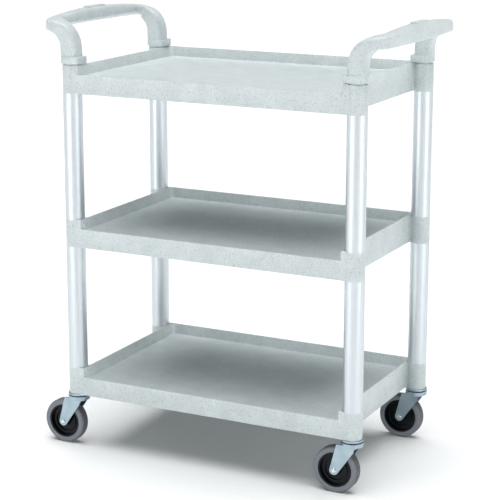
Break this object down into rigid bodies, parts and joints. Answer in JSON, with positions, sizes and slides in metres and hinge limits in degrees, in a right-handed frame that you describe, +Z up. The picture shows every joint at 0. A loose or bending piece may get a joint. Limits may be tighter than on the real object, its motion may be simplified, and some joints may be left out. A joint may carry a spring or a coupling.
{
  "type": "food service trolley",
  "caption": "Food service trolley: open-front moulded tray shelves on tubular aluminium corner posts, a moulded U handle at each end and swivel casters.",
  "frame": {"origin": "on the floor, under the middle of the shelves and midway between the four posts", "axes": "+Z up; X along the shelves, with a handle at each end; -Y is the serving side with the low front lip; at rest every caster trails towards -X"},
  "size_m": [0.8225, 0.418, 0.9685],
  "materials": {
    "speckled_plastic": "light grey polypropylene with fine dark and pale flecks, matt moulded surface",
    "anodised_aluminium": "satin clear anodised drawn tube",
    "black_nylon": "plain moulded nylon, hidden inside the posts",
    "zinc_plated_steel": "bright bluish zinc plate on pressed steel",
    "bearing_steel": "ground and polished steel",
    "black_hub_plastic": "black moulded polypropylene, slight sheen",
    "grey_rubber": "non-marking grey rubber, matt"
  },
  "bodies": {
    "frame": {"shelf_bottom": "speckled_plastic", "shelf_middle": "speckled_plastic", "shelf_top": "speckled_plastic", "handle_left": "speckled_plastic", "handle_right": "speckled_plastic", "post_lower_front_left": "anodised_aluminium", "post_upper_front_left": "anodised_aluminium", "plug_bottom_front_left": "black_nylon", "plug_middle_front_left": "black_nylon", "plug_top_front_left": "black_nylon", "caster_front_left_stem": "zinc_plated_steel", "caster_front_left_race": "zinc_plated_steel", "post_lower_front_right": "anodised_aluminium", "post_upper_front_right": "anodised_aluminium", "plug_bottom_front_right": "black_nylon", "plug_middle_front_right": "black_nylon", "plug_top_front_right": "black_nylon", "caster_front_right_stem": "zinc_plated_steel", "caster_front_right_race": "zinc_plated_steel", "post_lower_back_left": "anodised_aluminium", "post_upper_back_left": "anodised_aluminium", "plug_bottom_back_left": "black_nylon", "plug_middle_back_left": "black_nylon", "plug_top_back_left": "black_nylon", "caster_back_left_stem": "zinc_plated_steel", "caster_back_left_race": "zinc_plated_steel", "post_lower_back_right": "anodised_aluminium", "post_upper_back_right": "anodised_aluminium", "plug_bottom_back_right": "black_nylon", "plug_middle_back_right": "black_nylon", "plug_top_back_right": "black_nylon", "caster_back_right_stem": "zinc_plated_steel", "caster_back_right_race": "zinc_plated_steel"},
    "caster_front_left_swivel": {"caster_front_left_fork": "zinc_plated_steel", "caster_front_left_balls": "bearing_steel", "caster_front_left_axle": "zinc_plated_steel", "caster_front_left_bushing": "bearing_steel"},
    "caster_front_left_wheel": {"caster_front_left_hub": "black_hub_plastic", "caster_front_left_tyre": "grey_rubber"},
    "caster_front_right_swivel": {"caster_front_right_fork": "zinc_plated_steel", "caster_front_right_balls": "bearing_steel", "caster_front_right_axle": "zinc_plated_steel", "caster_front_right_bushing": "bearing_steel"},
    "caster_front_right_wheel": {"caster_front_right_hub": "black_hub_plastic", "caster_front_right_tyre": "grey_rubber"},
    "caster_back_left_swivel": {"caster_back_left_fork": "zinc_plated_steel", "caster_back_left_balls": "bearing_steel", "caster_back_left_axle": "zinc_plated_steel", "caster_back_left_bushing": "bearing_steel"},
    "caster_back_left_wheel": {"caster_back_left_hub": "black_hub_plastic", "caster_back_left_tyre": "grey_rubber"},
    "caster_back_right_swivel": {"caster_back_right_fork": "zinc_plated_steel", "caster_back_right_balls": "bearing_steel", "caster_back_right_axle": "zinc_plated_steel", "caster_back_right_bushing": "bearing_steel"},
    "caster_back_right_wheel": {"caster_back_right_hub": "black_hub_plastic", "caster_back_right_tyre": "grey_rubber"}
  },
  "joints": [
    {"name": "caster_front_left_turn", "type": "hinge", "parent": "frame", "child": "caster_front_left_swivel", "pos_m": [-0.332, -0.185, 0.115], "axis": [0, 0, 1], "continuous": true},
    {"name": "caster_front_left_roll", "type": "hinge", "parent": "caster_front_left_swivel", "child": "caster_front_left_wheel", "pos_m": [-0.366, -0.185, 0.05], "axis": [0, 1, 0], "continuous": true},
    {"name": "caster_front_right_turn", "type": "hinge", "parent": "frame", "child": "caster_front_right_swivel", "pos_m": [0.332, -0.185, 0.115], "axis": [0, 0, 1], "continuous": true},
    {"name": "caster_front_right_roll", "type": "hinge", "parent": "caster_front_right_swivel", "child": "caster_front_right_wheel", "pos_m": [0.298, -0.185, 0.05], "axis": [0, 1, 0], "continuous": true},
    {"name": "caster_back_left_turn", "type": "hinge", "parent": "frame", "child": "caster_back_left_swivel", "pos_m": [-0.332, 0.185, 0.115], "axis": [0, 0, 1], "continuous": true},
    {"name": "caster_back_left_roll", "type": "hinge", "parent": "caster_back_left_swivel", "child": "caster_back_left_wheel", "pos_m": [-0.366, 0.185, 0.05], "axis": [0, 1, 0], "continuous": true},
    {"name": "caster_back_right_turn", "type": "hinge", "parent": "frame", "child": "caster_back_right_swivel", "pos_m": [0.332, 0.185, 0.115], "axis": [0, 0, 1], "continuous": true},
    {"name": "caster_back_right_roll", "type": "hinge", "parent": "caster_back_right_swivel", "child": "caster_back_right_wheel", "pos_m": [0.298, 0.185, 0.05], "axis": [0, 1, 0], "continuous": true}
  ]
}
